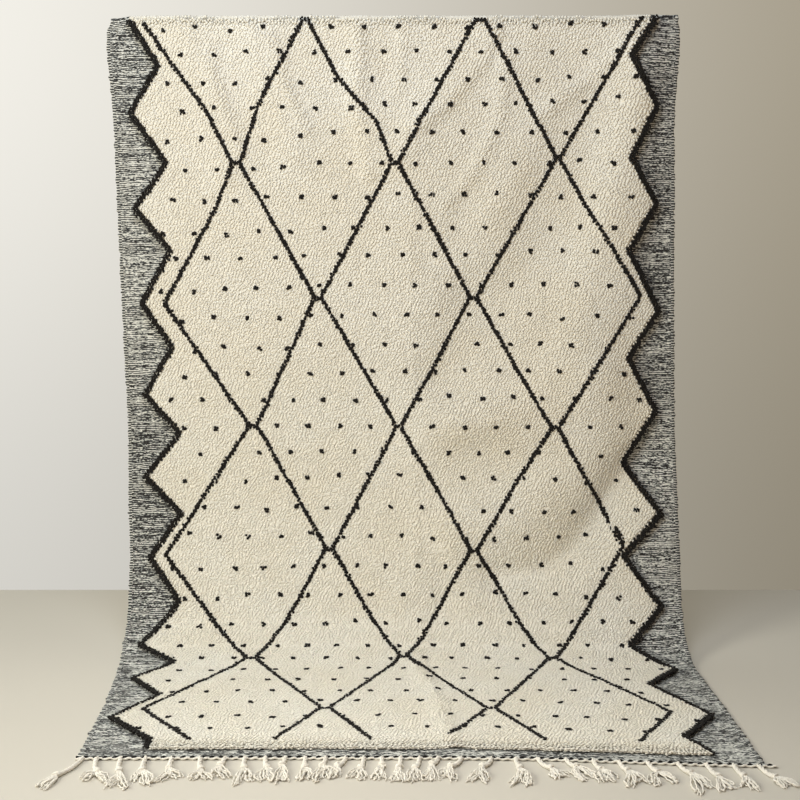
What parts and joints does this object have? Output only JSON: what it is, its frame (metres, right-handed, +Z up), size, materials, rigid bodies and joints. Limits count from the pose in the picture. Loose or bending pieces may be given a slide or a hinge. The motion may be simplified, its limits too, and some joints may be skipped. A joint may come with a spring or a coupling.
{
  "type": "beni ourain rug",
  "caption": "Hand-knotted wool rug hung by its top edge, its lower end run out on the floor: ivory pile with black lattice and dots, flat-woven zigzag side borders, knotted fringe.",
  "frame": {"origin": "on the floor, under the middle of the rug's box", "axes": "+Z up; the face of the rug looks towards -Y and its lower end runs out towards -Y; +X to the right as the face is looked at"},
  "size_m": [1.6428, 1.0452, 1.7518],
  "materials": {
    "ivory_wool": "short dense cut pile, matt",
    "black_wool": "knotted lattice lines, dots and zigzag outlines, matt",
    "grey_weave": "flat-woven black and ivory weft, heathered, matt",
    "warp_cotton": "twisted and knotted warp ends, frayed"
  },
  "bodies": {
    "root": {"rug": "ivory_wool", "fringe": "warp_cotton"}
  },
  "joints": []
}
